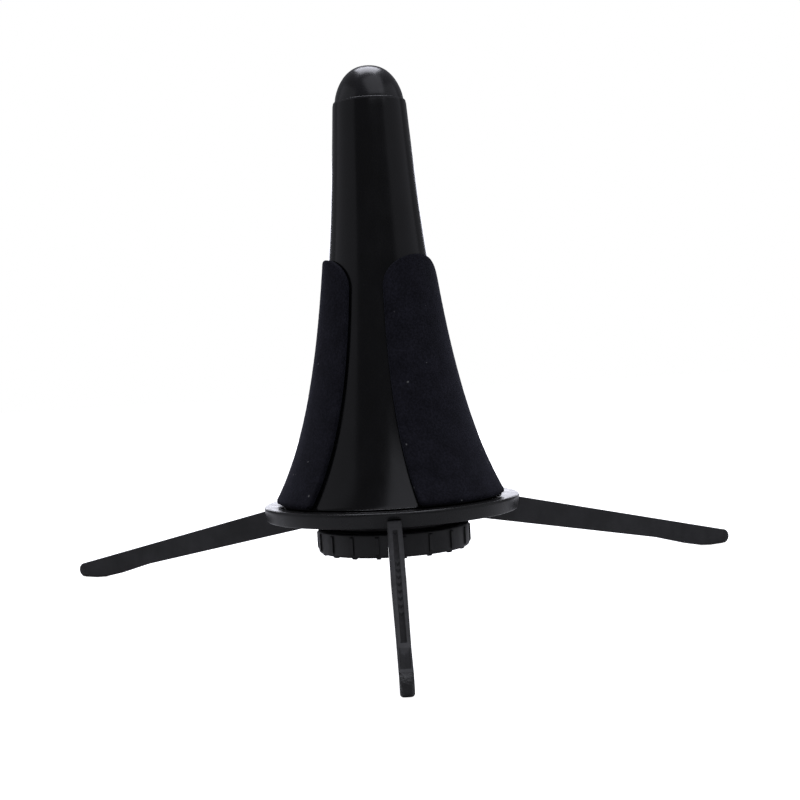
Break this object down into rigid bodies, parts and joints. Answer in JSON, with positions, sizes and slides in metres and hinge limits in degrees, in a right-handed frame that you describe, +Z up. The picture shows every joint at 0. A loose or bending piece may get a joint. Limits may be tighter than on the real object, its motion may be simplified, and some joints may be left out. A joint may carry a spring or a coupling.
{
  "type": "trumpet stand",
  "caption": "Compact stand for a trumpet: a hollow horn-shaped cone with velvet pads plugs onto a hub with blade legs that fold down.",
  "frame": {"origin": "centre of the stand's footprint box, on the surface that the feet stand on", "axes": "+Z up along the cone, the front leg within 2 degrees of -Y, +X to the right with the front leg towards the viewer"},
  "size_m": [0.2762, 0.2418, 0.1909],
  "materials": {
    "cone_gloss": "polished black plastic",
    "cap_gloss": "polished black plastic, a little lighter than the cone",
    "flange_plastic": "satin charcoal plastic",
    "hub_plastic": "satin charcoal plastic",
    "leg_plastic": "satin charcoal plastic",
    "foot_rubber": "matt grained rubber",
    "velvet": "black velvet with a fine short pile",
    "steel": "plain bright steel"
  },
  "bodies": {
    "base": {"base_hub": "hub_plastic", "hub_cover": "hub_plastic", "hinge_pin_front": "steel", "hinge_pin_right": "steel", "hinge_pin_left": "steel", "cover_screw_1": "steel", "cover_screw_2": "steel", "cover_screw_3": "steel"},
    "cone": {"cone_shell": "cone_gloss", "tip_cap": "cap_gloss", "base_flange": "flange_plastic", "pad_right": "velvet", "pad_rear": "velvet", "pad_left": "velvet"},
    "leg_front": {"leg_front": "leg_plastic", "foot_front": "foot_rubber"},
    "leg_right": {"leg_right": "leg_plastic", "foot_right": "foot_rubber"},
    "leg_left": {"leg_left": "leg_plastic", "foot_left": "foot_rubber"}
  },
  "joints": [
    {"name": "leg_front_fold", "type": "hinge", "parent": "base", "child": "leg_front", "pos_m": [-0.0007, 0.02165, 0.0279], "axis": [0.9995, 0.0305, 0], "range_deg": [0, 83]},
    {"name": "leg_right_fold", "type": "hinge", "parent": "base", "child": "leg_right", "pos_m": [0.01277, 0.04546, 0.0279], "axis": [-0.4886, 0.8725, 0], "range_deg": [0, 83]},
    {"name": "leg_left_fold", "type": "hinge", "parent": "base", "child": "leg_left", "pos_m": [-0.0149, 0.04588, 0.0279], "axis": [-0.515, -0.8572, 0], "range_deg": [0, 83]},
    {"name": "cone_lift", "type": "slide", "parent": "base", "child": "cone", "axis": [0, 0, 1], "range_m": [0, 0.06]}
  ]
}
